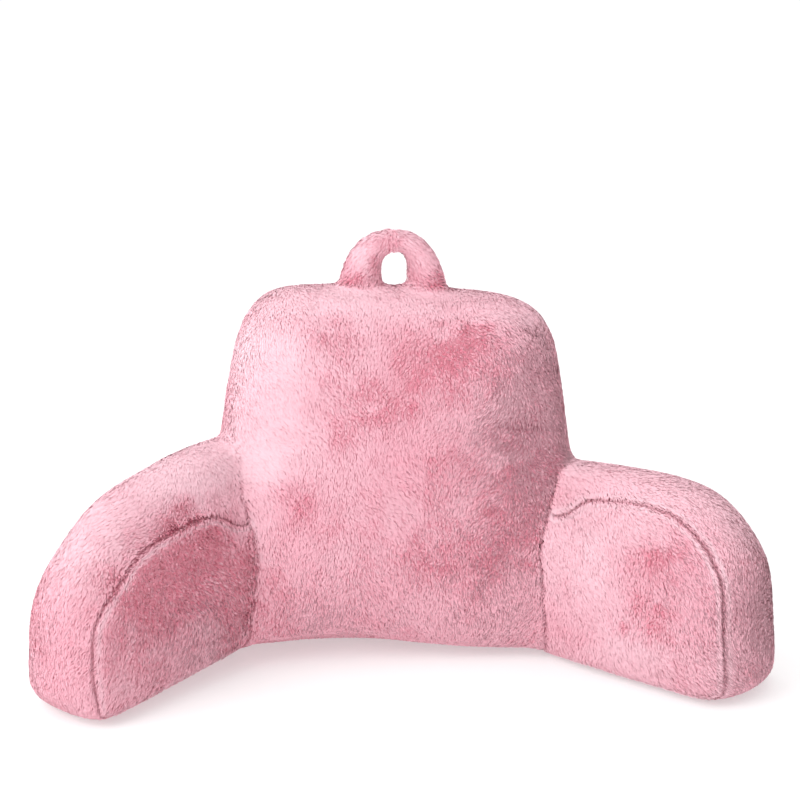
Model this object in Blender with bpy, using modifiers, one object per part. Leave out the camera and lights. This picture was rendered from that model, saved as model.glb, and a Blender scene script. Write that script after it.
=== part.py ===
"""Reading pillow with arms, in plush fur: a stuffed back cushion, two splayed arms and a carry handle.

Metres, +Z up. The sitter leans back against the cushion's front, which faces -Y, and the arms reach forward
and outward on both sides. The origin is on the floor, at the middle of the whole pillow's box. Every solid
reaches as far as the tips of the fur do. Tables are in millimetres.
"""

import math

import bmesh
import bpy
from mathutils import Matrix, Vector

MM = 0.001
JOIN_GAP = 0.3 * MM  # between sewn pieces, which stay separate solids

# Back cushion: a front panel and a rear panel with a boxing strip between them. Its outline as seen from the
# front, anticlockwise from the lower left: the right shoulder hangs lower and rounder than the left one.
BACK_CORNERS = [
    {"x": -236, "z": 8, "radius": 22},
    {"x": 238, "z": 4, "radius": 22},
    {"x": 195, "z": 256, "radius": 90},
    {"x": 177, "z": 383, "radius": 32},
    {"x": 124, "z": 403, "radius": 60},
    {"x": -20, "z": 414, "radius": 300},
    {"x": -145, "z": 414, "radius": 30},
    {"x": -170, "z": 368, "radius": 60},
    {"x": -188, "z": 260, "radius": 90},
]
BACK_STATIONS = 40  # points along the outline
BACK_HEIGHT = 0.42
BACK_FRONT_SEAM_Y = (8 * MM, 56 * MM)  # at the floor and at the top: the panel reclines
BACK_REAR_SEAM_Y = (165 * MM, 124 * MM)
BACK_BOXING_CROWN = {"top": 8 * MM, "side": 9 * MM}
BACK_FRONT_CROWN = 44 * MM
BACK_REAR_CROWN = 16 * MM
BACK_CENTRE = (0, 0.18)
# The front edge lifts off the floor left of the middle: "reach" is along it and "fade" up the panel.
BACK_LIFT = {"x": -75 * MM, "reach": 110 * MM, "rise": 30 * MM, "fade": 40 * MM}
# Tucks and hollows in the front panel.
BACK_HOLLOWS = [
    {"x": 166, "z": 366, "reach": 26, "depth": 12},
    {"x": 150, "z": 258, "reach": 34, "depth": 5},
    {"x": -110, "z": 300, "reach": 60, "depth": 4},
    {"x": 95, "z": 160, "reach": 55, "depth": 4},
]

# Arms: each has an inner panel, an outer panel and a boxing strip over the top and the end. Outlines of the
# inner panels, from the buried lower corner: "s" runs along the arm from the back.
ARM_SPLAY = math.radians(45)  # outward from straight ahead
ARM_ROOT_X = 160 * MM  # the inner seam's plane meets the back's front here
ARM_STATIONS = 36
ARMS = {
    "arm_left": {
        "side": -1,
        "corners": [
            {"s": -75, "z": 36, "radius": 10},
            {"s": 229, "z": 6, "radius": 15},
            {"s": 233, "z": 121, "radius": 60},
            {"s": 161, "z": 181, "radius": 80},
            {"s": 56, "z": 205, "radius": 120},
            {"s": -75, "z": 215, "radius": 10},
        ],
        "top_crown": 45 * MM,
        "end_crown": 19 * MM,
        "outer_rise": 8 * MM,
        "hem_lift": 30 * MM,
    },
    "arm_right": {
        "side": 1,
        "corners": [
            {"s": -75, "z": 5, "radius": 10},
            {"s": 238, "z": 3, "radius": 12},
            {"s": 232, "z": 153, "radius": 60},
            {"s": 178, "z": 208, "radius": 55},
            {"s": 110, "z": 213, "radius": 90},
            {"s": -75, "z": 205, "radius": 10},
        ],
        "top_crown": 20 * MM,
        "end_crown": 21 * MM,
        "outer_rise": -4 * MM,
        "hem_lift": 0.0,
    },
}
ARM_WIDTH = (122 * MM, 96 * MM)  # seam to seam at the floor and at the top: the filling sags outward
ARM_HEIGHT = 0.2
ARM_INNER_CROWN = 14 * MM
ARM_OUTER_CROWN = 18 * MM
ARM_CENTRE = (95 * MM, 96 * MM)
ARM_LIFT_REACH = 130 * MM  # how far along the arm its inner hem stays lifted
# Where the top seam runs into the back, the inner panel is drawn in.
ARM_TUCK = {"s": 5 * MM, "z": 205 * MM, "reach": 50 * MM, "depth": 18 * MM}

# Rings of a crowned panel: share of the way from its centre to its edge, and share of its crown.
PANEL_RINGS = [
    {"reach": 0.22, "rise": 1.00},
    {"reach": 0.52, "rise": 0.95},
    {"reach": 0.80, "rise": 0.80},
    {"reach": 1.00, "rise": 0.58},
]
SEAM_DEPTH = 4 * MM  # the stitches pull the seam in by this much
SEAM_SHOULDER = 7 * MM  # from a seam to the roll on either side of it
SHOULDER_RISE = 0.38  # the roll's share of the panel's crown
BOXING_STEPS = 7
BOXING_SQUARENESS = 2.6  # 2 swells in a plain arc from seam to seam, more is fuller beside the seams
LIFTED_SHARE = 3 / 7  # a lifted edge is back on the floor this share of the way across the underside
UNDERSIDE_NORMAL = -0.75  # the outline faces the floor where its normal points further down than this

# Carry handle: a stuffed loop, thick where it is sewn on and slim at the top. One row for each section: its
# middle, and half its thickness across the arch and from front to back.
HANDLE_Y = 92 * MM
HANDLE_SIDES = 10
HANDLE_ROWS = [
    {"x": -36, "z": 390, "across": 25, "deep": 19},
    {"x": -36, "z": 415, "across": 29, "deep": 21},
    {"x": -33, "z": 440, "across": 26, "deep": 21},
    {"x": -24, "z": 462, "across": 21, "deep": 19},
    {"x": 2, "z": 474, "across": 16, "deep": 18},
    {"x": 27, "z": 464, "across": 18, "deep": 19},
    {"x": 37, "z": 441, "across": 23, "deep": 20},
    {"x": 40, "z": 414, "across": 27, "deep": 21},
    {"x": 41, "z": 390, "across": 25, "deep": 19},
]

ARC_STEPS = 8  # edges round one corner of an outline
FUR_PINK = (0.86, 0.45, 0.55, 1.0)
FUR_ROUGHNESS = 0.95


def clear_scene():
    for obj in list(bpy.data.objects):
        bpy.data.objects.remove(obj)


def collection_named(name):
    collection = bpy.data.collections.new(name)
    bpy.context.scene.collection.children.link(collection)
    return collection


def fur_material(name):
    material = bpy.data.materials.new(name)
    material.use_nodes = True
    shader = material.node_tree.nodes["Principled BSDF"]
    shader.inputs["Base Color"].default_value = FUR_PINK
    shader.inputs["Roughness"].default_value = FUR_ROUGHNESS
    shader.inputs["Metallic"].default_value = 0.0
    return material


def lerp(pair, share):
    return pair[0] + (pair[1] - pair[0]) * share


def hump(distance, reach):
    """1 in the middle, falling smoothly away."""
    return math.exp(-((distance / reach) ** 2))


def rounded_outline(corners, stations):
    """Points spread evenly along a closed polygon, anticlockwise, whose corners (x, y, radius) are arcs."""
    dense = []
    for i, (x, y, radius) in enumerate(corners):
        here = Vector((x, y))
        before = (Vector(corners[i - 1][:2]) - here).normalized()
        after = (Vector(corners[(i + 1) % len(corners)][:2]) - here).normalized()
        half_angle = before.angle(after) / 2
        middle = here + (before + after).normalized() * radius / math.sin(half_angle)
        start = here + before * radius / math.tan(half_angle) - middle
        end = here + after * radius / math.tan(half_angle) - middle
        sweep = start.angle_signed(end)
        for step in range(ARC_STEPS + 1):
            turned = start.copy()
            turned.rotate(Matrix.Rotation(-sweep * step / ARC_STEPS, 2))
            dense.append(middle + turned)
    dense.append(dense[0])
    lengths = [(b - a).length for a, b in zip(dense, dense[1:])]
    spacing = sum(lengths) / stations
    points = []
    travelled = 0.0
    for a, b, length in zip(dense, dense[1:], lengths):
        while length and len(points) * spacing <= travelled + length and len(points) < stations:
            points.append(a.lerp(b, (len(points) * spacing - travelled) / length))
        travelled += length
    return points


def outward_normals(outline):
    """Unit normals of an anticlockwise outline at its points."""
    normals = []
    for before, after in zip([outline[-1], *outline], [*outline[1:], outline[0]]):
        along = (after - before).normalized()
        normals.append(Vector((along.y, -along.x)))
    return normals


def boxed_rings(outline, normals, centre, top_crown, side_crown):
    """Rings over a boxed cushion, from the first panel's middle to the second's.

    Each ring is (points in the panel's plane, share of the way from the first seam to the second, share of
    the panel's crown). A panel's rings close in on its centre and rise; the boxing's rings stand out past
    the seams, except underneath.
    """

    def inset(distance):
        return [p - n * distance for p, n in zip(outline, normals)]

    def crowned(share):
        swell = 1 - abs(2 * share - 1) ** BOXING_SQUARENESS
        return [
            p + n * swell * (top_crown * max(n.y, 0.0) ** 2 + side_crown * n.x**2)
            for p, n in zip(outline, normals)
        ]

    edge = inset(SEAM_SHOULDER * 2)
    panel = [([centre.lerp(p, row["reach"]) for p in edge], row["rise"]) for row in PANEL_RINGS]
    panel.append((inset(SEAM_SHOULDER), SHOULDER_RISE))
    panel.append(([p - n * SEAM_DEPTH * min(1 + n.y, 1) for p, n in zip(outline, normals)], 0.0))
    boxing = [step / BOXING_STEPS for step in range(1, BOXING_STEPS)]
    rings = [(points, 0.0, rise) for points, rise in panel]
    rings.extend((crowned(share), share, 0.0) for share in boxing)
    rings.extend((points, 1.0, rise) for points, rise in reversed(panel))
    return rings


def underside(normal, share):
    """The boxing lies flat on the floor where its outline faces down."""
    return normal.y < UNDERSIDE_NORMAL and 0 < share < 1


def mesh_from_rings(name, rings):
    """A closed tube of quads through rings of equal length, with a face over each end."""
    mesh = bpy.data.meshes.new(name)
    shape = bmesh.new()
    loops = [[shape.verts.new(point) for point in ring] for ring in rings]
    count = len(loops[0])
    for first, second in zip(loops, loops[1:]):
        for i in range(count):
            j = (i + 1) % count
            shape.faces.new((first[i], first[j], second[j], second[i]))
    shape.faces.new(loops[0])
    shape.faces.new(loops[-1])
    bmesh.ops.recalc_face_normals(shape, faces=shape.faces)
    shape.to_mesh(mesh)
    shape.free()
    mesh.shade_smooth()
    return mesh


def soft_object(name, mesh, collection, material):
    """An object with one level of Subdivision Surface over its cage."""
    obj = bpy.data.objects.new(name, mesh)
    collection.objects.link(obj)
    obj.data.materials.append(material)
    smooth = obj.modifiers.new("soft", "SUBSURF")
    smooth.levels = 1
    smooth.render_levels = 1
    return obj


def corners_in_metres(corners, across):
    return [(corner[across] * MM, corner["z"] * MM, corner["radius"] * MM) for corner in corners]


def hollow_at(x, z):
    return sum(
        row["depth"] * MM * hump(math.hypot(x - row["x"] * MM, z - row["z"] * MM), row["reach"] * MM)
        for row in BACK_HOLLOWS
    )


def back_mesh():
    outline = rounded_outline(corners_in_metres(BACK_CORNERS, "x"), BACK_STATIONS)
    normals = outward_normals(outline)
    crown = BACK_BOXING_CROWN
    rings = []
    for points, share, rise in boxed_rings(
        outline, normals, Vector(BACK_CENTRE), crown["top"], crown["side"]
    ):
        ring = []
        for p, n in zip(points, normals):
            up = p.y / BACK_HEIGHT
            y = lerp((lerp(BACK_FRONT_SEAM_Y, up), lerp(BACK_REAR_SEAM_Y, up)), share)
            if share == 0:
                y += hollow_at(p.x, p.y) - BACK_FRONT_CROWN * rise
            if share == 1:
                y += BACK_REAR_CROWN * rise
            z = 0.0 if underside(n, share) else p.y
            lift = BACK_LIFT["rise"] * hump(p.x - BACK_LIFT["x"], BACK_LIFT["reach"])
            z += lift * max(1 - share / LIFTED_SHARE, 0) * hump(z, BACK_LIFT["fade"])
            ring.append((p.x, y, z))
        rings.append(ring)
    return mesh_from_rings("back_cushion", rings)


def arm_mesh(name, row):
    outline = rounded_outline(corners_in_metres(row["corners"], "s"), ARM_STATIONS)
    normals = outward_normals(outline)
    forward = Vector((row["side"] * math.sin(ARM_SPLAY), -math.cos(ARM_SPLAY), 0))
    outward = Vector((row["side"] * math.cos(ARM_SPLAY), math.sin(ARM_SPLAY), 0))
    root = Vector((row["side"] * ARM_ROOT_X, 0, 0))
    rings = []
    for points, share, rise in boxed_rings(
        outline, normals, Vector(ARM_CENTRE), row["top_crown"], row["end_crown"]
    ):
        ring = []
        for p, n in zip(points, normals):
            up = p.y / ARM_HEIGHT
            across = lerp(ARM_WIDTH, 1 - (1 - up) ** 2) * share
            if share == 1:
                across += ARM_OUTER_CROWN * rise
            if share == 0:
                tucked = hump(math.hypot(p.x - ARM_TUCK["s"], p.y - ARM_TUCK["z"]), ARM_TUCK["reach"])
                across += ARM_TUCK["depth"] * tucked - ARM_INNER_CROWN * rise
            z = 0.0 if underside(n, share) else p.y
            z += row["outer_rise"] * share * z / ARM_HEIGHT
            if underside(n, share):
                z += row["hem_lift"] * max(1 - share / LIFTED_SHARE, 0) * hump(p.x, ARM_LIFT_REACH)
            ring.append(root + forward * p.x + outward * across + Vector((0, 0, z)))
        rings.append(ring)
    return mesh_from_rings(name, rings)


def handle_mesh():
    """Elliptical sections square to the arch, from below one root to below the other."""
    middles = [Vector((row["x"] * MM, HANDLE_Y, row["z"] * MM)) for row in HANDLE_ROWS]
    turns = [2 * math.pi * side / HANDLE_SIDES for side in range(HANDLE_SIDES)]
    rings = []
    for i, row in enumerate(HANDLE_ROWS):
        along = (middles[min(i + 1, len(middles) - 1)] - middles[max(i - 1, 0)]).normalized()
        across = Vector((along.z, 0, -along.x)) * row["across"] * MM
        deep = Vector((0, row["deep"] * MM, 0))
        rings.append([middles[i] + across * math.cos(turn) + deep * math.sin(turn) for turn in turns])
    return mesh_from_rings("handle", rings)


def cut_by(obj, cutter):
    cut = obj.modifiers.new("meets_back", "BOOLEAN")
    cut.operation = "DIFFERENCE"
    cut.solver = "EXACT"
    cut.object = cutter


def centre_on_floor(nodes, anchor):
    """Moves the whole pillow so that the origin is at the middle of its box, on the floor."""
    bpy.context.view_layer.update()
    graph = bpy.context.evaluated_depsgraph_get()
    points = []
    for obj in nodes:
        shape = obj.evaluated_get(graph)
        points.extend(obj.matrix_world @ v.co for v in shape.data.vertices)
    for axis in (0, 1):
        values = [point[axis] for point in points]
        anchor.location[axis] = -(min(values) + max(values)) / 2


def main():
    clear_scene()
    pillow = collection_named("reading_pillow")
    cutters = collection_named("cutters")
    fur = fur_material("plush_fur")

    back = soft_object("back_cushion", back_mesh(), pillow, fur)
    grown_back = soft_object("grown_back", back.data.copy(), cutters, fur)
    grown_back.hide_render = True
    grown_back.display_type = "WIRE"
    grow = grown_back.modifiers.new("grow", "DISPLACE")
    grow.strength = JOIN_GAP
    grow.mid_level = 0.0

    nodes = [back]
    for name, row in ARMS.items():
        arm = soft_object(name, arm_mesh(name, row), pillow, fur)
        cut_by(arm, grown_back)
        nodes.append(arm)
    handle = soft_object("handle", handle_mesh(), pillow, fur)
    cut_by(handle, grown_back)
    nodes.append(handle)

    anchor = bpy.data.objects.new("pillow_place", None)
    pillow.objects.link(anchor)
    for obj in [*nodes, grown_back]:
        obj.parent = anchor
    centre_on_floor(nodes, anchor)


main()
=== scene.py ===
"""Looks of the reading pillow with arms: dense plush over stuffed cushions, on a white studio floor.

Metres, +Z up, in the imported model's frame. The sitter's side faces -Y. Each cushion is a stuffed skin with
its sewn seams, and the plush on it is modelled strand by strand: thin bent blades that gather in tufts.
Tables are in millimetres.
"""

import itertools
import math

import bmesh
import bpy
import numpy as np
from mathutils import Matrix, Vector
from mathutils.bvhtree import BVHTree


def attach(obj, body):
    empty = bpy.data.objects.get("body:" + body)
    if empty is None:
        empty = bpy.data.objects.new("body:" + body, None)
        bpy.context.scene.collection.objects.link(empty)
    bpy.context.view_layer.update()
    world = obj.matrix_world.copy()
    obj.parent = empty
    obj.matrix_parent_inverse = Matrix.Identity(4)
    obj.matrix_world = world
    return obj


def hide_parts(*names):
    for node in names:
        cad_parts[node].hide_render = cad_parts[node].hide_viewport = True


MM = 0.001

# The camera stands where the photograph was taken from.
CAMERA_PLACE = (-0.14145, -1.56347, 0.65980)
CAMERA_LOOKS = (0.08706834, 0.97141114, -0.22086083)
CAMERA_LENS = 65.97  # on a sensor 36 mm wide

# Soft light comes from all round: its strength on the far side and on the side that it comes from.
SOFT_FROM = (-1.0, -0.5, 0.9)
SOFT_STRENGTH = (0.39, 1.51)

# Sewn seams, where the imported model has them. Its tables were centred on the floor by this shift.
CENTRING = np.array((-3.2117, -3.4251, 0.0)) * MM
ARM_SPLAY = math.radians(45)
ARM_ROOT_X = 160 * MM
ARM_WIDTH = (122 * MM, 96 * MM)
ARM_HEIGHT = 0.2
BACK_HEIGHT = 0.42
BACK_SEAMS_Y = {"front": (8 * MM, 56 * MM), "rear": (165 * MM, 124 * MM)}

# Skins: what carries the plush. "softness" is how much of the smoothing a cushion takes, which leaves its
# seams to the table below, and "fill" how tight it is stuffed.
SKINS = {
    "back_skin": {"node": "back_cushion", "softness": 1.0, "fill": 0.75},
    "arm_left_skin": {"node": "arm_left", "softness": 0.45, "fill": 0.8},
    "arm_right_skin": {"node": "arm_right", "softness": 0.45, "fill": 0.8},
    "handle_skin": {"node": "handle", "softness": 0.05, "fill": 0.9},
}
COVER_VOXEL = 5.5 * MM
SMOOTH_ROUNDS = 40
PILE = 3.2 * MM  # from a skin to the tips of its plush
SMOOTH_PILE = 1.6 * MM  # the same where the nap lies smooth
SLACK = 5 * MM  # the cover starts this much smaller, and its filling blows it out again
MOST_OVER = 1.5 * MM  # the most that its filling blows it out past its place
PRESSURE = 4.0
CLOTH_FRAMES = 20
CLOTH_STIFFNESS = {"tension": 12, "compression": 12, "bending": 1.5}
PIN_REACH = 9 * MM  # how far from its stitches the filling can't push the cover out
PIN_LEAST = 0.02  # a point pinned less than this is free
SKIN_ABOVE_FLOOR = 1.2 * MM

# Smooth noise, as tables of the lumps' sizes in mm and their heights.
NAP_SWIRL = {95: 0.9, 34: 0.45}  # how the nap's direction wanders, in radians
NAP_OPENS = {38: 0.3, 15: 0.22}  # how open the nap is
PATCH_WANDER = {30: 14, 11: 6}  # how patches' edges wander, in mm
SHADE_LUMPS = {9: 1.0, 24: 0.7}  # the tufts' swells in the light

# Lines where the skin is drawn in: sewn seams, the roots where two cushions meet, and folds. How deep it is
# pulled, how wide the channel is and how far the rolls beside it stand up.
SEAMS = [
    {"skin": "arm_left_skin", "seam": "inner", "depth": 3.3, "width": 1.7, "roll": 1.0},
    {"skin": "arm_left_skin", "seam": "outer", "depth": 3.5, "width": 2.2, "roll": 0.6},
    {"skin": "arm_right_skin", "seam": "inner", "depth": 4, "width": 1.9, "roll": 1.0},
    {"skin": "arm_right_skin", "seam": "outer", "depth": 3.5, "width": 2.2, "roll": 0.6},
    {"skin": "back_skin", "seam": "rear", "depth": 4, "width": 3.0, "roll": 0.8},
]
# An arm's root is deepest below the second height, and fades to the least strength at the first.
ROOT_CREASE = {"depth": 3.0, "width": 2.1, "roll": 0.0, "fades_at": (245, 195), "least": 0.12}
FOLDS = [
    {"path": [(112, 0, 272), (145, 4, 268), (186, 16, 266)], "reach": 45, "depth": 1.8, "width": 3.5},
    {"path": [(160, 45, 385), (152, 36, 372), (140, 22, 358)], "reach": 22, "depth": 2.5, "width": 3},
    {"path": [(165, 50, 372), (152, 36, 372), (136, 30, 376)], "reach": 18, "depth": 2.0, "width": 3},
]
SEAM_ENDS = (10 * MM, 32 * MM)  # a seam ends this far from its cushion's root, above SEAM_TOP and below
SEAM_TOP = 165 * MM
LINE_REACH = 25 * MM  # past this a line does nothing
FULL_DEPTH = 4.0  # a line this deep shades its strands in full, in mm
ROLL_PLACE = 2.4  # where the roll beside a line stands, in widths from it
LIP_PLACE = 6.0  # where the nap to the right of an inner seam catches the light, in mm from its stitches
LIP_WIDTH = 3.0
LIP_START = -2 * MM  # how far past the seam's own sheet it starts
LIP_FULL = 160 * MM  # how high above the floor it shows in full
LIP_LEAST = 0.5
GROUND_SPREAD = 3.0  # the skin's own channels are this much wider and deeper, in mm
GROUND_EXTRA = 1.0

# Plush. Strands for each square metre where the sitter's side shows, and the share of it elsewhere.
STRANDS_PER_M2 = 720_000
REAR_SHARE = 0.45
UNDER_SHARE = 0.25
SHOWN_SIDE = (0.0, -1.0, 0.35)  # where the sitter's side faces
REAR_FADE = (0.5, 2.5)  # how the share falls off as the skin turns from it
UNDERSIDE = -0.8  # a normal that points down by more than this is on the underside
TOP_SIDE = (0.45, 0.35)  # a skin that faces up: where its nap starts to lie down, and over what span
# A top's nap lies smooth and is painted paler with it: painted highlight where light falls from above.
TOP_CALM = 0.8
OPEN_ANYWHERE = 0.05
CALM_CLOSES = 0.8  # how far a smooth nap closes the openings that chance makes
PATCH_LUMPS = (0.95, 0.8, 12 * MM)  # an open patch: its plain part, its lumps and their size
STRAND_SEED = 100
MOST_STRANDS = 97_000  # in one piece
TUFT = 3.0 * MM
STRAND_LENGTH = 8 * MM
STRAND_HALF_WIDTH = 0.42 * MM
STRAND_BURIED = 0.7 * MM
STRAND_ABOVE_FLOOR = 0.4 * MM
STRAND_BEND = (1.3, 1.62)  # how much more its upper half leans, and the most that it leans in radians
STRAND_ROLL = 0.9  # the span of its twist in radians
LEAN_SPAN = (0.15, 1.5)  # radians
UNDER_LEAN = 1.45  # radians
EVEN_LENGTH = 0.97
DRAWN_SHORTER = 0.3
NEAR_LINES_CALM = 0.8  # how far a line takes the smooth nap away

# What a strand has in a plain nap, and what an open and a smooth nap add to it.
UNREST = {"plain": 0.22, "open": 0.85, "calm": -0.19}  # how much strands differ
LEAN = {"plain": 79, "open": -40, "calm": 5}  # degrees from upright
RISE = {"plain": 0.68, "open": -0.1, "calm": 0.28}  # the share of its lean that it has at its root
LENGTH = {"plain": 1.0, "open": -0.3, "calm": 0.12}
WIDTH = {"plain": 1.0, "open": 0.0, "calm": 0.6}
# The smooth nap's share of the tint is painted highlight: its strands are paler where light falls on them.
TINT = {"plain": 0.55, "open": -0.38, "calm": 0.3}  # from deep to pale
TUFT_PULLS_MIDDLE = {"plain": 0.05, "open": 0.25, "calm": 0.0}
TUFT_PULLS_TIP = {"plain": 0.1, "open": 0.45, "calm": 0.0}

# How far chance changes it: the same for a whole tuft, and for each strand alone.
BY_TUFT = {"turn": 1.2, "lean": 20, "length": 0.5, "tint": 0.2}
BY_STRAND = {"turn": 0.9, "lean": 10, "length": 0.2, "tint": 0.2, "width": 0.5}
OPEN_TINT = {"tuft": 0.4, "strand": 0.55}
TURN_LUMPS = 0.8  # radians
BROAD_TINT = 0.1
# Painted shade: strands along seams, root creases and folds are made darker, as in the channel's shade.
DRAWN_SHADE_TINT = -0.1
# Painted highlight: strands in the lip beside an inner seam, on the side that faces the light, are paler.
LIP_HIGHLIGHT_TINT = 0.06
# How the painted mauve shade varies in lumps, and the largest share of strands that take it.
MAUVE_SHADE_LUMPS = 0.4
MOST_MAUVE_SHADE = 0.9

# Shading normals: how far they leave the skin's own, in a plain nap and in the most open one.
SHADE_BY_LUMPS = (0.07, 0.29)
SHADE_BY_ROOT = (0.1, 0.7)
SHADE_BY_TIP = (0.2, 1.4)
ALONG_STRAND = (0.02, 0.55, 0.98, 0.55)  # how far up a strand its four points are

# Where the nap lies smooth. Its strands there are also painted paler: painted highlight where light falls on
# it.
CALMED_AND_LIT = [
    {"x": -165, "y": 20, "z": 360, "reach": 60, "calm": 1.0},
    {"x": -170, "y": 5, "z": 290, "reach": 60, "calm": 1.0},
    {"x": -175, "y": 0, "z": 235, "reach": 45, "calm": 0.8},
    {"x": -60, "y": 60, "z": 412, "reach": 60, "calm": 0.7},
    {"x": 60, "y": 60, "z": 412, "reach": 60, "calm": 0.8},
    {"x": 140, "y": 70, "z": 385, "reach": 45, "calm": 0.6},
    {"x": -271, "y": -50, "z": 245, "reach": 80, "calm": 1.0},
    {"x": -337, "y": -125, "z": 190, "reach": 50, "calm": 0.5},
    {"x": 260, "y": -40, "z": 228, "reach": 75, "calm": 1.0},
    {"x": 190, "y": -50, "z": 130, "reach": 60, "calm": 0.8},
    {"x": 225, "y": -100, "z": 40, "reach": 55, "calm": 0.6},
    {"x": -45, "y": 74, "z": 455, "reach": 20, "calm": 0.9},
    {"x": 5, "y": 80, "z": 482, "reach": 32, "calm": 0.8},
    {"x": 38, "y": 75, "z": 455, "reach": 18, "calm": 0.45},
    {"x": -204, "y": 5, "z": 251, "reach": 50, "calm": 1.0},
    {"x": -155, "y": -12, "z": 165, "reach": 32, "calm": 0.6},
]
# Where the nap lies away from the light: its strands are painted a darker, greyer mauve, as painted shade.
MAUVE_SHADE = [
    {"x": 150, "y": 10, "z": 290, "reach": 60, "mauve_shade": 1.0},
    {"x": 165, "y": 12, "z": 345, "reach": 45, "mauve_shade": 0.7},
    {"x": 165, "y": 5, "z": 220, "reach": 50, "mauve_shade": 0.8},
    {"x": 110, "y": -18, "z": 90, "reach": 80, "mauve_shade": 0.45},
    {"x": -80, "y": -22, "z": 60, "reach": 60, "mauve_shade": 0.4},
    {"x": -250, "y": -105, "z": 110, "reach": 70, "mauve_shade": 0.2},
    {"x": 366, "y": -150, "z": 120, "reach": 48, "mauve_shade": 0.7},
    {"x": 390, "y": -90, "z": 110, "reach": 80, "mauve_shade": 1.0},
    {"x": 350, "y": -160, "z": 40, "reach": 45, "mauve_shade": 0.4},
    {"x": 140, "y": -2, "z": 200, "reach": 60, "mauve_shade": 0.4},
    {"x": -200, "y": -60, "z": 60, "reach": 60, "mauve_shade": 0.4},
    {"x": 320, "y": -80, "z": 222, "reach": 60, "mauve_shade": 0.25},
    {"x": 50, "y": 73, "z": 432, "reach": 14, "mauve_shade": 0.4},
]
# Where the nap has been brushed open and the deeper pink of its roots shows. The patches low by the left
# arm's root also stand in for the shadow that the arm casts there: painted shade.
OPENED_AND_SHADED = [
    {"x": -62, "y": 18, "z": 376, "reach": 28, "open": 0.4},
    {"x": -63, "y": 6, "z": 332, "reach": 26, "open": 0.3},
    {"x": -27, "y": -1, "z": 303, "reach": 22, "open": 0.55},
    {"x": 9, "y": -3, "z": 291, "reach": 22, "open": 0.7},
    {"x": 45, "y": 10, "z": 345, "reach": 38, "open": 0.9},
    {"x": 80, "y": 29, "z": 385, "reach": 24, "open": 0.9},
    {"x": 111, "y": 20, "z": 364, "reach": 18, "open": 0.7},
    {"x": 140, "y": -2, "z": 228, "reach": 36, "open": 0.7},
    {"x": 105, "y": -10, "z": 205, "reach": 28, "open": 0.5},
    {"x": 136, "y": -12, "z": 150, "reach": 34, "open": 0.8},
    {"x": 28, "y": -20, "z": 143, "reach": 24, "open": 0.8},
    {"x": -152, "y": -20, "z": 90, "reach": 36, "open": 0.5},
    {"x": -190, "y": -40, "z": 105, "reach": 36, "open": 0.4},
    {"x": 99, "y": 4, "z": 318, "reach": 16, "open": 0.7},
    {"x": -53, "y": -5, "z": 275, "reach": 18, "open": 0.35},
    {"x": -113, "y": -12, "z": 197, "reach": 22, "open": 0.3},
    {"x": -173, "y": -30, "z": 125, "reach": 28, "open": 1.0},
    {"x": 86, "y": -22, "z": 130, "reach": 32, "open": 0.5},
    {"x": 262, "y": -124, "z": 158, "reach": 24, "open": 0.6},
    {"x": 255, "y": -126, "z": 90, "reach": 28, "open": 0.6},
    {"x": -225, "y": -80, "z": 165, "reach": 40, "open": 1.0},
    {"x": -262, "y": -118, "z": 125, "reach": 50, "open": 1.0},
    {"x": -215, "y": -70, "z": 130, "reach": 45, "open": 0.6},
    {"x": -190, "y": -45, "z": 141, "reach": 36, "open": 0.6},
    {"x": -150, "y": -22, "z": 28, "reach": 32, "open": 0.8},
    {"x": -185, "y": -42, "z": 60, "reach": 32, "open": 0.45},
    {"x": -170, "y": -30, "z": 85, "reach": 26, "open": 0.7},
    {"x": 50, "y": -10, "z": 249, "reach": 22, "open": 0.45},
    {"x": 160, "y": 5, "z": 245, "reach": 26, "open": 0.5},
    {"x": 84, "y": -16, "z": 184, "reach": 20, "open": 0.4},
    {"x": -85, "y": -18, "z": 168, "reach": 22, "open": 0.4},
    {"x": 42, "y": -16, "z": 184, "reach": 24, "open": 0.4},
    {"x": 115, "y": -20, "z": 120, "reach": 26, "open": 0.4},
    {"x": 278, "y": -138, "z": 166, "reach": 22, "open": 0.3},
    {"x": 240, "y": -105, "z": 75, "reach": 24, "open": 0.35},
    {"x": -22, "y": 71, "z": 450, "reach": 9, "open": 0.8},
    {"x": -6, "y": 72, "z": 457, "reach": 8, "open": 0.5},
    {"x": -45, "y": 73, "z": 430, "reach": 12, "open": 0.7},
    {"x": 46, "y": 73, "z": 432, "reach": 15, "open": 0.6},
]


def lerp(pair, share):
    return pair[0] + (pair[1] - pair[0]) * share


def unit(vectors):
    return vectors / np.maximum(np.linalg.norm(vectors, axis=-1, keepdims=True), 1e-12)


def dot(a, b):
    return np.einsum("...i,...i->...", a, b)[..., None]


def hash01(cells, seed):
    """A repeatable number from 0 to 1 for each row of three whole numbers."""
    mixed = cells[..., 0] * 73856093 ^ cells[..., 1] * 19349663 ^ cells[..., 2] * 83492791 ^ seed * 374761393
    mixed &= 0xFFFFFFFF
    mixed = ((mixed ^ (mixed >> 13)) * 1274126177) & 0xFFFFFFFF
    mixed = ((mixed ^ (mixed >> 16)) * 668265263) & 0xFFFFFFFF
    return ((mixed ^ (mixed >> 15)) & 0xFFFFFF) / 0xFFFFFF


def lumps(points, size, seed):
    """Smooth noise from -1 to 1 with lumps about this size."""
    scaled = points / size + 100.0
    base = np.floor(scaled).astype(np.int64)
    part = scaled - base
    part = part * part * (3 - 2 * part)
    total = np.zeros(len(points))
    for corner in itertools.product((0, 1), repeat=3):
        weight = np.prod(np.where(np.array(corner) == 1, part, 1 - part), axis=1)
        total += weight * hash01(base + corner, seed)
    return 2 * total - 1


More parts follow.
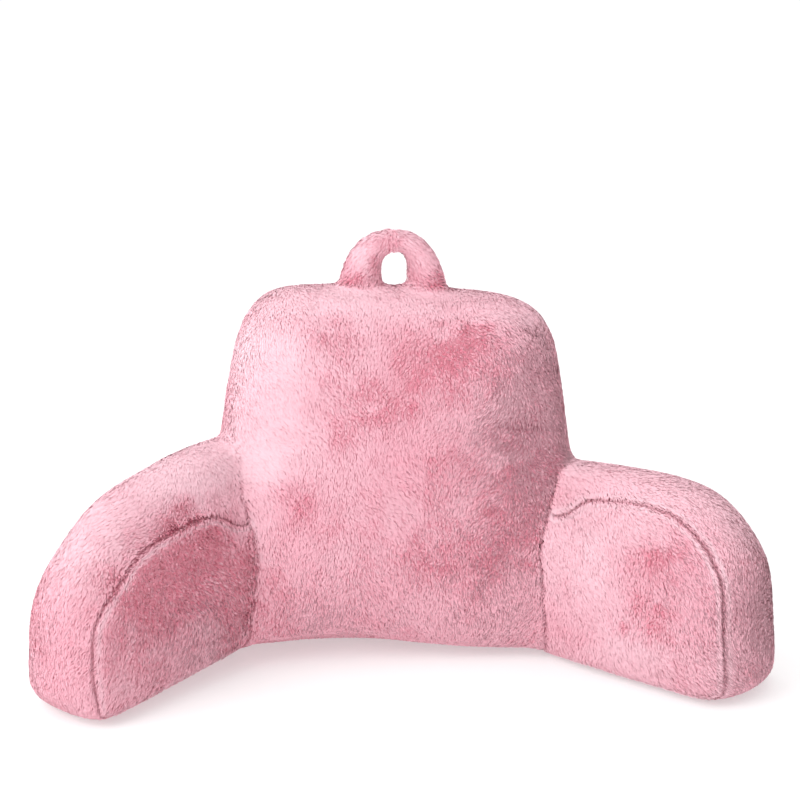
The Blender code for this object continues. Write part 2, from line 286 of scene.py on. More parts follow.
def layered(points, sizes, seed):
    """Smooth noise of several sizes together."""
    return sum(height * lumps(points, size * MM, seed + n) for n, (size, height) in enumerate(sizes.items()))


def layered_vectors(points, sizes, seed):
    """The same as vectors, with noise of their own for each axis."""
    total = np.zeros_like(points)
    for number, (size, height) in enumerate(sizes.items()):
        first = seed + 3 * number
        axes = [lumps(points, size * MM, first + axis) for axis in range(3)]
        total += height * np.stack(axes, axis=1)
    return total


def tuft_centres(points, size, seed):
    """The nearest of scattered points, one in each cube of a grid, and a number of its own for each."""
    base = np.floor(points / size).astype(np.int64) + 1000
    nearest = np.full(len(points), np.inf)
    centres = np.zeros_like(points)
    cells = np.zeros_like(base)
    for step in itertools.product((-1, 0, 1), repeat=3):
        cell = base + step
        jitter = np.stack([hash01(cell, seed + axis) for axis in range(3)], axis=1)
        centre = (cell - 1000 + jitter) * size
        distance = np.linalg.norm(points - centre, axis=1)
        closer = distance < nearest
        nearest[closer] = distance[closer]
        centres[closer] = centre[closer]
        cells[closer] = cell[closer]
    return centres, cells


def mesh_arrays(mesh):
    """Points, unit normals at the points, and triangles."""
    mesh.calc_loop_triangles()
    points = np.empty(len(mesh.vertices) * 3)
    mesh.vertices.foreach_get("co", points)
    normals = np.empty(len(mesh.vertices) * 3)
    mesh.vertex_normals.foreach_get("vector", normals)
    triangles = np.empty(len(mesh.loop_triangles) * 3, dtype=np.int32)
    mesh.loop_triangles.foreach_get("vertices", triangles)
    return points.reshape(-1, 3), normals.reshape(-1, 3), triangles.reshape(-1, 3)


def set_points(mesh, points):
    mesh.vertices.foreach_set("co", points.astype(np.float32).ravel())
    mesh.update()


def apply_modifiers(obj):
    graph = bpy.context.evaluated_depsgraph_get()
    mesh = bpy.data.meshes.new_from_object(obj.evaluated_get(graph))
    obj.modifiers.clear()
    obj.data = mesh
    mesh.name = obj.name


def smoothed(mesh, values, rounds, softness=1.0):
    """Values at the mesh's points, each averaged with its neighbours' a number of times."""
    edges = np.empty(len(mesh.edges) * 2, dtype=np.int32)
    mesh.edges.foreach_get("vertices", edges)
    a, b = edges.reshape(-1, 2).T
    size = len(values)
    count = np.maximum(np.bincount(a, minlength=size) + np.bincount(b, minlength=size), 1)
    columns = list(values.T.copy())
    for _ in range(rounds):
        for index, column in enumerate(columns):
            total = np.bincount(a, column[b], size) + np.bincount(b, column[a], size)
            columns[index] = column + 0.5 * softness * (total / count - column)
    return np.stack(columns, axis=1)


def zero_lines(points, triangles, values):
    """Where values at the points pass zero across a triangle mesh: the lines' starts and ends."""
    corner = values[triangles]
    crossed = (corner > 0).any(axis=1) & (corner <= 0).any(axis=1)
    corner = corner[crossed]
    place = points[triangles[crossed]]
    hit, at = [], []
    for i, j in ((0, 1), (1, 2), (2, 0)):
        hit.append(((corner[:, i] > 0) != (corner[:, j] > 0))[:, None])
        span = corner[:, i] - corner[:, j]
        share = corner[:, i] / np.where(np.abs(span) < 1e-12, 1, span)
        at.append(place[:, i] + (place[:, j] - place[:, i]) * share[:, None])
    return np.where(hit[0], at[0], at[1]), np.where(hit[2], at[2], at[1])


def distance_to_lines(points, starts, ends):
    """How far points lie from the nearest of some lines, worked out for 2000 of them at a time."""
    nearest = np.empty(len(points))
    along = ends - starts
    squared = np.maximum((along**2).sum(axis=1), 1e-12)
    for first in range(0, len(points), 2000):
        offset = points[first : first + 2000, None] - starts[None]
        share = np.clip((offset * along).sum(axis=2) / squared, 0, 1)
        gap = offset - share[..., None] * along
        nearest[first : first + 2000] = np.sqrt((gap**2).sum(axis=2).min(axis=1))
    return nearest


def arm_directions(side):
    forward = np.array((side * math.sin(ARM_SPLAY), -math.cos(ARM_SPLAY), 0))
    outward = np.array((side * math.cos(ARM_SPLAY), math.sin(ARM_SPLAY), 0))
    return forward, outward


def off_seam(skin, seam, points):
    """How far points lie past the sheet that a seam is sewn in, negative on its inner side."""
    placed = points - CENTRING
    if skin == "back_skin":
        return placed[:, 1] - lerp(BACK_SEAMS_Y[seam], placed[:, 2] / BACK_HEIGHT)
    side = -1 if skin == "arm_left_skin" else 1
    outward = arm_directions(side)[1]
    across = (placed - (side * ARM_ROOT_X, 0, 0)) @ outward
    if seam == "inner":
        return across
    return across - lerp(ARM_WIDTH, 1 - (1 - placed[:, 2] / ARM_HEIGHT) ** 2)


def tree_of(points, triangles):
    return BVHTree.FromPolygons([Vector(p) for p in points], triangles.tolist())


def gaps_to_nodes(points):
    """How far points lie from each node's surface, in the order of the skins, and how deep they are under
    the nearest one's, negative outside it."""
    gaps = np.empty((len(points), len(SKINS)))
    depths = np.empty_like(gaps)
    for column, row in enumerate(SKINS.values()):
        tree = tree_of(*mesh_arrays(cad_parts[row["node"]].data)[::2])
        for i, point in enumerate(points):
            place, facing, _, gap = tree.find_nearest(Vector(point))
            gaps[i, column] = gap
            depths[i, column] = gap if (Vector(point) - place).dot(facing) < 0 else -gap
    return gaps, depths[np.arange(len(points)), gaps.argmin(axis=1)]


def joined_nodes():
    """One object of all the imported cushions."""
    points, triangles = [], []
    for row in SKINS.values():
        own, _, faces = mesh_arrays(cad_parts[row["node"]].data)
        triangles.append(faces + sum(map(len, points)))
        points.append(own)
    mesh = bpy.data.meshes.new("cover")
    mesh.from_pydata(np.concatenate(points).tolist(), [], np.concatenate(triangles).tolist())
    obj = bpy.data.objects.new("cover", mesh)
    bpy.context.scene.collection.objects.link(obj)
    return obj


def drawn_lines(cover):
    """The seams, root creases and folds as lines on the cover: rows with their starts and ends."""
    points, _, triangles = mesh_arrays(cover.data)
    tree = tree_of(points, triangles)

    def laid_on(places):
        return np.array([tree.find_nearest(Vector(place))[0] for place in places])

    rows = []
    gaps, _ = gaps_to_nodes(points)
    for column in range(1, len(SKINS)):
        starts, ends = zero_lines(points, triangles, gaps[:, column] - gaps[:, 0])
        rows.append(ROOT_CREASE | {"starts": starts, "ends": ends})
    roots = [np.concatenate([row[key] for row in rows]) for key in ("starts", "ends")]
    for row in SEAMS:
        node_points, _, node_triangles = mesh_arrays(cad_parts[SKINS[row["skin"]]["node"]].data)
        past = off_seam(row["skin"], row["seam"], node_points)
        starts, ends = zero_lines(node_points, node_triangles, past)
        from_root = distance_to_lines(starts, *roots)
        clear = from_root > np.where(starts[:, 2] > SEAM_TOP, *SEAM_ENDS)
        rows.append(row | {"starts": laid_on(starts[clear]), "ends": laid_on(ends[clear])})
    for row in FOLDS:
        path = laid_on(np.array(row["path"]) * MM)
        rows.append(row | {"starts": path[:-1], "ends": path[1:]})
    return rows


def gaps_to_lines(points, rows):
    return [distance_to_lines(points, row["starts"], row["ends"]) for row in rows]


def line_strength(row, points, gap, width=None):
    """1 on a line and 0 away from it. A fold also fades toward its ends."""
    strength = np.exp(-((gap / ((width or row["width"]) * MM)) ** 2))
    if "reach" in row:
        middle = (row["starts"].mean(axis=0) + row["ends"].mean(axis=0)) / 2
        strength *= np.exp(-((np.linalg.norm(points - middle, axis=1) / (row["reach"] * MM)) ** 2))
    if "fades_at" in row:
        gone, whole = row["fades_at"]
        strength *= np.clip((gone - points[:, 2] / MM) / (gone - whole), row["least"], 1)
    return strength


def inflate(obj, pinned):
    """Blows the cover out with Blender's cloth, held where it is pinned. The result is levelled, so that
    its free points are in their places on the whole, and capped."""
    before, facing, _ = mesh_arrays(obj.data)
    group = obj.vertex_groups.new(name="sewn")
    for index, weight in enumerate(pinned):
        if weight > PIN_LEAST:
            group.add([index], float(weight), "REPLACE")
    cloth = obj.modifiers.new("filling", "CLOTH")
    settings = cloth.settings
    settings.use_pressure = True
    settings.uniform_pressure_force = PRESSURE
    settings.vertex_group_mass = group.name
    settings.tension_stiffness = CLOTH_STIFFNESS["tension"]
    settings.compression_stiffness = CLOTH_STIFFNESS["compression"]
    settings.bending_stiffness = CLOTH_STIFFNESS["bending"]
    settings.effector_weights.gravity = 0
    cloth.point_cache.frame_start = 1
    cloth.point_cache.frame_end = CLOTH_FRAMES
    scene = bpy.context.scene
    for number in range(1, CLOTH_FRAMES + 1):
        scene.frame_set(number)
    apply_modifiers(obj)
    scene.frame_set(1)
    obj.vertex_groups.clear()
    swell = dot(mesh_arrays(obj.data)[0] - before, facing)
    level = np.median(swell[pinned < 0.05])
    swell = SLACK + np.clip(swell - level, -SLACK, MOST_OVER)
    set_points(obj.data, before + smoothed(obj.data, facing * swell, 2))


def make_cover():
    """The stuffed cover without its plush: one even mesh round all the cushions, a pile's height inside the
    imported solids."""
    obj = joined_nodes()
    remesh = obj.modifiers.new("even", "REMESH")
    remesh.mode = "VOXEL"
    remesh.voxel_size = COVER_VOXEL
    remesh.use_smooth_shade = True
    apply_modifiers(obj)

    mesh = obj.data
    points = mesh_arrays(mesh)[0]
    cushion = gaps_to_nodes(points)[0].argmin(axis=1)
    softness = np.array([row["softness"] for row in SKINS.values()])[cushion]
    softness = smoothed(mesh, softness[:, None], 4)[:, 0]
    points = smoothed(mesh, points, SMOOTH_ROUNDS, softness)
    set_points(mesh, points)
    normals = unit(smoothed(mesh, mesh_arrays(mesh)[1], 4))
    sunk = gaps_to_nodes(points)[1]
    sunk = smoothed(mesh, sunk[:, None], SMOOTH_ROUNDS // 2, softness)
    set_points(mesh, points + normals * (sunk - PILE - SLACK))

    inner = mesh_arrays(mesh)[0]
    pinned = np.zeros(len(inner))
    for row in drawn_lines(obj):
        if "path" not in row:
            gap = distance_to_lines(inner, row["starts"], row["ends"])
            pinned = np.maximum(pinned, np.exp(-((gap / PIN_REACH) ** 2)))
    inflate(obj, pinned)

    return obj


def carved(rows, points, gaps, spread=0.0, extra=0.0):
    """How far the lines draw points in: by their own width and rolls, or wider and deeper for the ground."""
    total = np.zeros(len(points))
    for row, gap in zip(rows, gaps):
        width = row["width"] + spread
        pull = (row["depth"] + extra) * MM * line_strength(row, points, gap, width)
        roll = row.get("roll", 0) * MM * np.exp(-(((gap / MM - ROLL_PLACE * width) / width) ** 2))
        total += pull - roll * (spread == 0)
    return total


def cut_skin(name, row, cover, own):
    """A cushion's closed skin out of the cover, with a wall where it is sewn to its neighbours."""
    mesh = bpy.data.meshes.new(name)
    obj = bpy.data.objects.new(name, mesh)
    bpy.context.scene.collection.objects.link(obj)
    shape = bmesh.new()
    shape.from_mesh(cover.data)
    others = [face for face in shape.faces if not own[face.index]]
    bmesh.ops.delete(shape, geom=others, context="FACES")
    rim = [edge for edge in shape.edges if edge.is_boundary]
    walls = bmesh.ops.holes_fill(shape, edges=rim, sides=0)["faces"]
    bmesh.ops.triangulate(shape, faces=walls)
    shape.to_mesh(mesh)
    shape.free()
    mesh.shade_smooth()
    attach(obj, "root")
    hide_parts(row["node"])
    mesh.materials.append(ground)
    return obj


def nap_direction(name, points):
    """Which way the plush was brushed at these points, before it is laid along the skin."""
    if name == "handle_skin":
        lie = np.zeros_like(points)
        lie[:, 0] = np.tanh((points[:, 0] - 1 * MM) / (12 * MM))
        lie[:, 2] = -0.9
        return lie
    if name == "back_skin":
        return np.tile((0.1, -0.2, -1.0), (len(points), 1))
    forward = arm_directions(-1 if name == "arm_left_skin" else 1)[0]
    return np.tile(forward * 0.45 + (0, 0, -0.9), (len(points), 1))


def turned(vectors, axes, angles):
    """Vectors square to their axes, turned round them."""
    angles = angles[:, None]
    return vectors * np.cos(angles) + np.cross(axes, vectors) * np.sin(angles)


def patches(points, cushion, rows, key):
    """The sum of soft patches with wandering edges, each on the cushion that its middle lies on."""
    total = np.zeros(len(points))
    wandered = points + layered_vectors(points, PATCH_WANDER, 61) * MM
    for row in rows:
        centre = np.array((row["x"], row["y"], row["z"])) * MM
        own = cushion == cushion[np.linalg.norm(points - centre, axis=1).argmin()]
        near = np.linalg.norm(wandered - centre, axis=1) / (row["reach"] * MM)
        total += row[key] * np.exp(-(near**2)) * own
    return total


def cover_fields(points, normals, cushion):
    """How the plush lies at each point of the cover, as columns of numbers."""
    lie = np.zeros_like(points)
    for number, name in enumerate(SKINS):
        own = cushion == number
        lie[own] = nap_direction(name, points[own])
    lie = unit(lie - normals * dot(lie, normals) + 1e-6)
    lie = turned(lie, normals, layered(points, NAP_SWIRL, 11))
    top = np.clip((normals[:, 2] - TOP_SIDE[0]) / TOP_SIDE[1], 0, 1)
    # calm also paints the strands paler (painted highlight), on the lit patches and on the tops.
    calm = np.maximum(patches(points, cushion, CALMED_AND_LIT, "calm"), TOP_CALM * top)
    opened = OPEN_ANYWHERE + layered(points, NAP_OPENS, 21)
    opened *= 1 - CALM_CLOSES * np.clip(calm, 0, 1)
    plain, high, size = PATCH_LUMPS
    opened += patches(points, cushion, OPENED_AND_SHADED, "open") * (plain + high * lumps(points, size, 23))
    opened *= 1 - TOP_CALM * top
    return {
        "lie": lie,
        "open": np.clip(opened, 0, 1),
        "calm": np.clip(calm, 0, 1),
        "mauve_shade": patches(points, cushion, MAUVE_SHADE, "mauve_shade"),
    }


def strand_roots(points, normals, triangles, fields, rows, rng):
    """Root places on the cover, spread by how much of the pillow shows there, with the fields at each."""
    corners = points[triangles]
    cross = np.cross(corners[:, 1] - corners[:, 0], corners[:, 2] - corners[:, 0])
    area = np.linalg.norm(cross, axis=1) / 2
    facing = unit(cross)
    shown = np.clip(REAR_FADE[0] + REAR_FADE[1] * (facing @ np.array(SHOWN_SIDE)), 0, 1)
    share = lerp((REAR_SHARE, 1.0), shown)
    share = np.where(facing[:, 2] < UNDERSIDE, UNDER_SHARE, share)
    weight = area * share
    count = int(weight.sum() * STRANDS_PER_M2)
    reached = np.cumsum(weight) / weight.sum()
    picks = np.searchsorted(reached, (np.arange(count) + rng.random(count)) / count)
    picks = np.minimum(picks, len(triangles) - 1)
    a, b = rng.random((2, count))
    over = a + b > 1
    a[over], b[over] = 1 - a[over], 1 - b[over]
    mix = np.stack((1 - a - b, a, b), axis=1)
    chosen = triangles[picks]

    def at_roots(values):
        values = values if values.ndim == 2 else values[:, None]
        return np.einsum("nk,nkd->nd", mix, values[chosen])

    found = {key: at_roots(value) for key, value in fields.items()}
    found = {key: value if key == "lie" else value[:, 0] for key, value in found.items()}
    root = at_roots(points)
    normal = unit(at_roots(normals))
    gaps = []
    drawn = np.zeros(count)
    lip = np.zeros(count)
    for row, gap in zip(rows, gaps_to_lines(points, rows)):
        gap = at_roots(gap)[:, 0]
        near = gap < LINE_REACH
        gap[near] = distance_to_lines(root[near], row["starts"], row["ends"])
        gaps.append(gap)
        # The lit lip: nap beside an inner seam on the side that faces the light, painted paler later
        # (painted highlight).
        if row.get("seam") == "inner":
            side = -1 if row["skin"] == "arm_left_skin" else 1
            within = side * off_seam(row["skin"], "inner", root) > LIP_START
            within = within * np.clip(root[:, 2] / LIP_FULL, LIP_LEAST, 1)
            lip = np.maximum(lip, within * np.exp(-(((gap / MM - LIP_PLACE) / LIP_WIDTH) ** 2)))
        drawn = np.maximum(drawn, line_strength(row, root, gap) * min(row["depth"] / FULL_DEPTH, 1))
    pull = carved(rows, root, gaps)
    ground_pull = carved(rows, root, gaps, GROUND_SPREAD, GROUND_EXTRA)
    found["root"] = root - normal * pull[:, None]
    found["buried"] = STRAND_BURIED + np.maximum(ground_pull - pull, 0)
    found["normal"] = normal
    found["drawn"] = drawn
    found["lip"] = lip
    found["calm"] = np.maximum(found["calm"], lip) * (1 - NEAR_LINES_CALM * drawn)
    found["open"] *= 1 - CALM_CLOSES * lip
    found["share"] = share[picks]
    found["triangle"] = picks
    return found


def mixed(row, opened, calm):
    """A row's plain amount and what an open and a smooth nap add to it."""
    return row["plain"] + row["open"] * opened + row["calm"] * calm


def strands(f, rng):
    """Four points for each strand, with the normal they are shaded by, and (along, tint) for its colour."""
    count = len(f["root"])
    root, normal = f["root"], f["normal"]
    lie = unit(f["lie"] - normal * dot(f["lie"], normal))
    centre, cell = tuft_centres(root, TUFT, 31)
    tuft = {key: BY_TUFT[key] * (hash01(cell, 41 + n) - 0.5) for n, key in enumerate(BY_TUFT)}
    opened = f["open"]
    calm = f["calm"] * (1 - opened)
    unrest = np.clip(mixed(UNREST, opened, calm), 0, 1)

    def drawn_lots(span):
        return span * (rng.random(count) - 0.5)

    lie = turned(lie, normal, (tuft["turn"] + TURN_LUMPS * lumps(root, 9 * MM, 13)) * unrest)
    tuft_lie = lie
    lie = turned(lie, normal, drawn_lots(BY_STRAND["turn"]) * unrest)
    lean = mixed(LEAN, opened, calm) + tuft["lean"] * unrest
    lean = np.clip(np.radians(lean + drawn_lots(BY_STRAND["lean"])), *LEAN_SPAN)
    rise = mixed(RISE, opened, calm)
    length = STRAND_LENGTH * (EVEN_LENGTH + tuft["length"] * unrest + drawn_lots(BY_STRAND["length"]))
    length *= mixed(LENGTH, opened, calm) * (1 - DRAWN_SHORTER * f["drawn"])
    lean = np.where(normal[:, 2] < UNDERSIDE, UNDER_LEAN, lean)

    def path(direction, start, reach):
        first = np.cos(lean * rise)[:, None] * normal + np.sin(lean * rise)[:, None] * direction
        bend = np.minimum(lean * STRAND_BEND[0], STRAND_BEND[1])
        second = np.cos(bend)[:, None] * normal + np.sin(bend)[:, None] * direction
        middle = start + first * (0.5 * reach)[:, None]
        return middle, middle + second * (0.5 * reach)[:, None]

    middle, tip = path(lie, root, length)
    centre = centre - normal * dot(centre - root, normal)
    tuft_middle, tuft_tip = path(tuft_lie, centre, length)
    middle = lerp((middle, tuft_middle), mixed(TUFT_PULLS_MIDDLE, opened, calm)[:, None])
    tip = lerp((tip, tuft_tip), mixed(TUFT_PULLS_TIP, opened, calm)[:, None])

    along = unit(tip - root)
    side = unit(np.cross(along, normal))
    roll = drawn_lots(STRAND_ROLL)
    face = unit(np.cross(side, along))
    side = side * np.cos(roll)[:, None] + face * np.sin(roll)[:, None]
    face = unit(np.cross(side, along))
    half = STRAND_HALF_WIDTH * (1 + drawn_lots(BY_STRAND["width"])) * mixed(WIDTH, opened, calm)
    half = (half / np.sqrt(f["share"]))[:, None]
    start = root - normal * f["buried"][:, None]
    points = np.stack((start, middle + side * half, tip, middle - side * half), axis=1)
    points[..., 2] = np.maximum(points[..., 2], STRAND_ABOVE_FLOOR)

    swell = layered_vectors(root, SHADE_LUMPS, 71)
    soft = unit(normal + swell * lerp(SHADE_BY_LUMPS, unrest)[:, None])
    low = unit(soft + face * lerp(SHADE_BY_ROOT, opened)[:, None])
    high = unit(soft + face * lerp(SHADE_BY_TIP, opened)[:, None])
    shading = np.stack((low, high, high, high), axis=1)

    # Tint, from deep to pale: an open nap's share is deeper, and is partly painted shade by the left arm's
    # root.
    tint = mixed(TINT, opened, calm) + BROAD_TINT * lumps(root, 60 * MM, 51)
    tint += unrest * (tuft["tint"] + drawn_lots(BY_STRAND["tint"]))
    tint += opened * (OPEN_TINT["tuft"] * (hash01(cell, 44) - 0.5) + drawn_lots(OPEN_TINT["strand"]))
    # Strands along the lines are painted darker (painted shade), and in the lit lip paler (painted
    # highlight).
    tint = np.clip(tint + DRAWN_SHADE_TINT * f["drawn"] + LIP_HIGHLIGHT_TINT * f["lip"], 0.02, 0.98)
    # Painted shade: this share of strands takes the darker, greyer mauve half of the ramps.
    mauve_shade = f["mauve_shade"] * (1 + MAUVE_SHADE_LUMPS * lumps(root, 12 * MM, 52))
    pink = rng.random(count) > np.clip(mauve_shade, 0, MOST_MAUVE_SHADE)
    across = np.tile((0.5 * tint + 0.5 * pink)[:, None], (1, 4))
    colour = np.stack((np.tile(ALONG_STRAND, (count, 1)), across), axis=2)
    return points, shading, colour


def strand_mesh(name, points, shading, colour):
    """One mesh of blades: a bent, pointed leaf of two triangles for each strand."""
    count = len(points)
    mesh = bpy.data.meshes.new(name)
    mesh.vertices.add(count * 4)
    mesh.vertices.foreach_set("co", points.astype(np.float32).ravel())
    corners = (np.arange(count)[:, None] * 4 + np.array((0, 1, 3, 3, 1, 2))).ravel()
    mesh.loops.add(count * 6)
    mesh.loops.foreach_set("vertex_index", corners.astype(np.int32))
    mesh.polygons.add(count * 2)
    mesh.polygons.foreach_set("loop_start", (np.arange(count * 2) * 3).astype(np.int32))
    mesh.update(calc_edges=True)
    mesh.shade_smooth()
    flat = colour.reshape(-1, 2)[corners].astype(np.float32).ravel()
    for layer in ("strand", "OFBake"):
        mesh.uv_layers.new(name=layer).data.foreach_set("uv", flat)
    mesh.normals_split_custom_set_from_vertices(shading.reshape(-1, 3).astype(np.float32))
    return mesh


def hang_plush(name, skin, blades, own):
    """A skin's strands as joined meshes, parted across the pillow where there are too many for one."""
    points, shading, colour = (values[own] for values in blades)
    order = np.argsort(points[:, 0, 0], kind="stable")
    parts = math.ceil(len(points) / MOST_STRANDS)
    for part, chosen in enumerate(np.array_split(order, parts), start=1):
        title = f"{name.removesuffix('_skin')}_fur_{part}"
        mesh = strand_mesh(title, points[chosen], shading[chosen], colour[chosen])
        obj = bpy.data.objects.new(title, mesh)
        bpy.context.scene.collection.objects.link(obj)
        obj.data.materials.append(fur)
        obj.parent = skin


def dress():
    """Cover, skins and plush. The strands stand on the cover, and the skins are then drawn in further below
    their seams."""
    cover = make_cover()
    rows = drawn_lines(cover)
    points, normals, triangles = mesh_arrays(cover.data)
    gaps, _ = gaps_to_nodes(points)
    cushion = gaps.argmin(axis=1)
    rng = np.random.default_rng(STRAND_SEED)
    fields = cover_fields(points, normals, cushion)
    pile = lerp((PILE, SMOOTH_PILE), fields["calm"] * (1 - fields["open"]))
    points = points + normals * (PILE - pile)[:, None]
    found = strand_roots(points, normals, triangles, fields, rows, rng)
    blades = strands(found, rng)

    off_lines = gaps_to_lines(points, rows)
    lowered = points - normals * carved(rows, points, off_lines, GROUND_SPREAD, GROUND_EXTRA)[:, None]
    lowered[:, 2] = np.maximum(lowered[:, 2], SKIN_ABOVE_FLOOR)
    set_points(cover.data, lowered)
    # On the ground: painted shade along seams, root creases and folds, and painted highlight where the nap
    # lies smooth.
    drawn = np.max([line_strength(row, points, gap) for row, gap in zip(rows, off_lines)], axis=0)
    smooth_and_lit = fields["calm"] * (1 - fields["open"]) * (1 - drawn)
    for key, values in (("sewn", drawn), ("smooth_and_lit", smooth_and_lit)):
        shaded = cover.data.attributes.new(key, "FLOAT", "POINT")
        shaded.data.foreach_set("value", values.astype(np.float32))
    face_gaps = np.array([gaps[list(face.vertices)].mean(axis=0) for face in cover.data.polygons])
    face_cushion = face_gaps.argmin(axis=1)
    of_strand = gaps[triangles].mean(axis=1).argmin(axis=1)[found["triangle"]]
    for number, (name, row) in enumerate(SKINS.items()):
        skin = cut_skin(name, row, cover, face_cushion == number)
        hang_plush(name, skin, blades, of_strand == number)
    bpy.data.objects.remove(cover)


def new_material(name):
    material = bpy.data.materials.new(name)
    material.use_nodes = True
    return material, material.node_tree, material.node_tree.nodes["Principled BSDF"]


def ramp(tree, stops):
    node = tree.nodes.new("ShaderNodeValToRGB")
    elements = node.color_ramp.elements
    while len(elements) < len(stops):
        elements.new(0.5)
    for element, (place, colour) in zip(elements, stops):
        element.position = place
        element.color = (*colour, 1.0)
    return node


def fur_material():
    """Pale tips over deep roots. The strand map holds the way along a strand and its tint."""
    material, tree, shader = new_material("plush_fur_strands")
    place = tree.nodes.new("ShaderNodeUVMap")
    place.uv_map = "strand"
    parts = tree.nodes.new("ShaderNodeSeparateXYZ")
    tree.links.new(place.outputs["UV"], parts.inputs["Vector"])
    # the lower half of each ramp is a darker, greyer mauve (painted shade) and the upper half pink, both
    # from deep to pale
    roots = ramp(
        tree,
        [
            (0.0, (0.38, 0.10, 0.15)),
            (0.49, (0.54, 0.28, 0.33)),
            (0.51, (0.62, 0.10, 0.17)),
            (0.75, (0.81, 0.32, 0.40)),
            (1.0, (0.84, 0.51, 0.58)),
        ],
    )
    tips = ramp(
        tree,
        [
            (0.0, (0.47, 0.20, 0.25)),
            (0.49, (0.64, 0.38, 0.43)),
            (0.51, (0.76, 0.25, 0.33)),
            (0.75, (0.84, 0.44, 0.52)),
            (1.0, (0.86, 0.60, 0.66)),
        ],
    )
    for node in (roots, tips):
        tree.links.new(parts.outputs["Y"], node.inputs["Fac"])
    along = tree.nodes.new("ShaderNodeMapRange")
    along.interpolation_type = "SMOOTHSTEP"
    along.inputs["From Min"].default_value = 0.05
    along.inputs["From Max"].default_value = 0.8
    tree.links.new(parts.outputs["X"], along.inputs["Value"])
    mix = tree.nodes.new("ShaderNodeMix")
    mix.data_type = "RGBA"
    tree.links.new(along.outputs["Result"], mix.inputs["Factor"])
    tree.links.new(roots.outputs["Color"], mix.inputs["A"])
    tree.links.new(tips.outputs["Color"], mix.inputs["B"])
    tree.links.new(mix.outputs["Result"], shader.inputs["Base Color"])
    shader.inputs["Roughness"].default_value = 0.9
    shader.inputs["Specular IOR Level"].default_value = 0.2
    shader.inputs["Sheen Weight"].default_value = 0.15
    shader.inputs["Sheen Roughness"].default_value = 0.5
    shader.inputs["Sheen Tint"].default_value = (1.0, 0.75, 0.8, 1.0)
    return material


def skin_material():
    """The knitted ground between the strands, deep pink and a little uneven."""
    material, tree, shader = new_material("plush_fur_ground")
    place = tree.nodes.new("ShaderNodeTexCoord")
    mottle = tree.nodes.new("ShaderNodeTexNoise")
    mottle.inputs["Scale"].default_value = 220.0
    mottle.inputs["Detail"].default_value = 3.0
    tree.links.new(place.outputs["Object"], mottle.inputs["Vector"])
    colours = ramp(tree, [(0.3, (0.90, 0.38, 0.48)), (0.7, (0.94, 0.48, 0.58))])
    tree.links.new(mottle.outputs["Fac"], colours.inputs["Fac"])
    colour = colours.outputs["Color"]
    # Paler where the nap lies smooth: painted highlight. Darker along seams, root creases and folds: painted
    # shade.
    for key, toward in (("smooth_and_lit", (0.92, 0.58, 0.65, 1.0)), ("sewn", (0.55, 0.10, 0.18, 1.0))):
        share = tree.nodes.new("ShaderNodeAttribute")
        share.attribute_name = key
        mix = tree.nodes.new("ShaderNodeMix")
        mix.data_type = "RGBA"
        mix.inputs["B"].default_value = toward
        tree.links.new(share.outputs["Fac"], mix.inputs["Factor"])
        tree.links.new(colour, mix.inputs["A"])
        colour = mix.outputs["Result"]
    tree.links.new(colour, shader.inputs["Base Color"])
    bump = tree.nodes.new("ShaderNodeBump")
    bump.inputs["Strength"].default_value = 0.5
    bump.inputs["Distance"].default_value = 0.001
    tree.links.new(mottle.outputs["Fac"], bump.inputs["Height"])
    tree.links.new(bump.outputs["Normal"], shader.inputs["Normal"])
    shader.inputs["Roughness"].default_value = 0.95
    shader.inputs["Sheen Weight"].default_value = 0.3
    return material


def floor_stage():
    """A flat floor, which reaches out into the white behind the pillow."""
    mesh = bpy.data.meshes.new("studio_floor")
    half = 6.0
    mesh.from_pydata(
        [(-half, -half, 0), (half, -half, 0), (half, half, 0), (-half, half, 0)], [], [(0, 1, 2, 3)]
    )
    obj = bpy.data.objects.new("studio_floor", mesh)
    bpy.context.scene.collection.objects.link(obj)
    material, _, shader = new_material("studio_white")
    shader.inputs["Base Color"].default_value = (0.62, 0.62, 0.62, 1)
    shader.inputs["Emission Color"].default_value = (1, 1, 1, 1)
    shader.inputs["Emission Strength"].default_value = 0.4
    shader.inputs["Roughness"].default_value = 1.0
    shader.inputs["Specular IOR Level"].default_value = 0.0
    mesh.materials.append(material)


def area_light(name, place, target, size, watts, colour=(1, 1, 1)):
    data = bpy.data.lights.new(name, "AREA")
    data.shape = "DISK"
    data.size = size
    data.energy = watts
    data.color = colour
    obj = bpy.data.objects.new(name, data)
    bpy.context.scene.collection.objects.link(obj)
    obj.location = place
    obj.rotation_euler = (Vector(target) - Vector(place)).to_track_quat("-Z", "Y").to_euler()


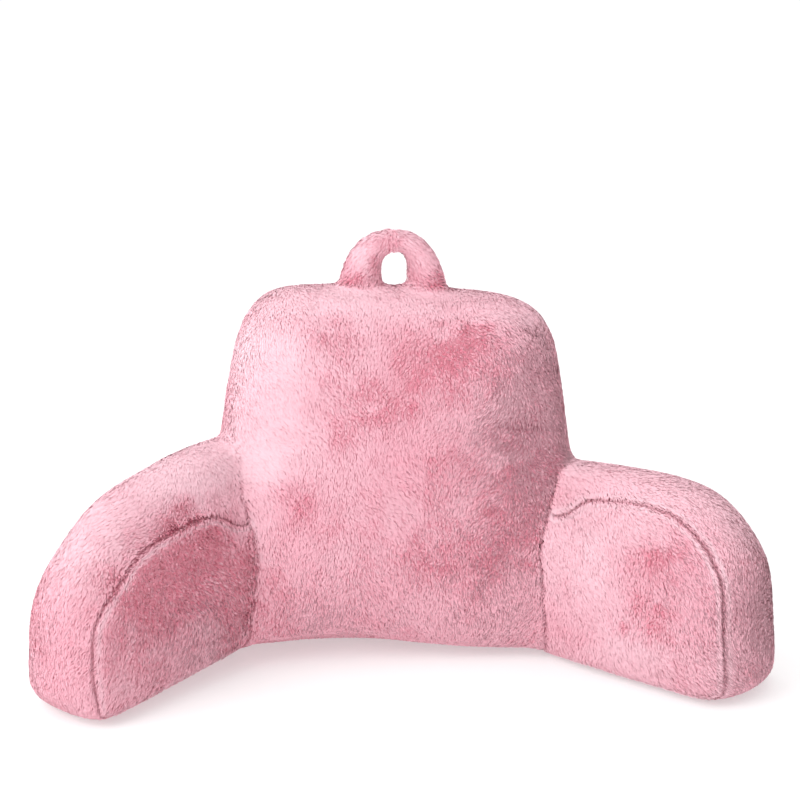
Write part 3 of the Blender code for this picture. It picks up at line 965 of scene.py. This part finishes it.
def sky_light(tree):
    """Soft light from everywhere, more of it from the key's side, in front of a plain white wall."""
    wall = tree.nodes["Background"]
    wall.inputs["Color"].default_value = (1, 1, 1, 1)
    wall.inputs["Strength"].default_value = 1.03
    soft = tree.nodes.new("ShaderNodeBackground")
    soft.inputs["Color"].default_value = (1, 1, 1, 1)
    place = tree.nodes.new("ShaderNodeTexCoord")
    toward = tree.nodes.new("ShaderNodeVectorMath")
    toward.operation = "DOT_PRODUCT"
    toward.inputs[1].default_value = Vector(SOFT_FROM).normalized()
    tree.links.new(place.outputs["Generated"], toward.inputs[0])
    strength = tree.nodes.new("ShaderNodeMapRange")
    strength.inputs["From Min"].default_value = -1.0
    strength.inputs["To Min"].default_value = SOFT_STRENGTH[0]
    strength.inputs["To Max"].default_value = SOFT_STRENGTH[1]
    tree.links.new(toward.outputs["Value"], strength.inputs["Value"])
    tree.links.new(strength.outputs["Result"], soft.inputs["Strength"])
    rays = tree.nodes.new("ShaderNodeLightPath")
    choose = tree.nodes.new("ShaderNodeMixShader")
    tree.links.new(rays.outputs["Is Camera Ray"], choose.inputs["Fac"])
    tree.links.new(soft.outputs["Background"], choose.inputs[1])
    tree.links.new(wall.outputs["Background"], choose.inputs[2])
    tree.links.new(choose.outputs["Shader"], tree.nodes["World Output"].inputs["Surface"])


def studio():
    floor_stage()
    world = bpy.data.worlds.new("studio")
    bpy.context.scene.world = world
    world.use_nodes = True
    sky_light(world.node_tree)
    area_light("key", (-1.25, -0.95, 1.25), (0, 0, 0.2), 1.2, 12)

    camera = bpy.data.objects.new("camera", bpy.data.cameras.new("camera"))
    bpy.context.scene.collection.objects.link(camera)
    camera.data.sensor_width = 36
    camera.data.lens = CAMERA_LENS
    camera.location = CAMERA_PLACE
    camera.rotation_euler = Vector(CAMERA_LOOKS).to_track_quat("-Z", "Y").to_euler()
    bpy.context.scene.camera = camera
    bpy.context.scene.view_settings.view_transform = "Standard"


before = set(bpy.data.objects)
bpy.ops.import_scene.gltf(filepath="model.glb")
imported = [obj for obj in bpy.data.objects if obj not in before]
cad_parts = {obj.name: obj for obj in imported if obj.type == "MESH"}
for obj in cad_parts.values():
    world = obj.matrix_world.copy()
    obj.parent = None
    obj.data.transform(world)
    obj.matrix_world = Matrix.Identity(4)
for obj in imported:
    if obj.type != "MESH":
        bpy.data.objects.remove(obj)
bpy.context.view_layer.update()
fur = fur_material()
ground = skin_material()
dress()
studio()
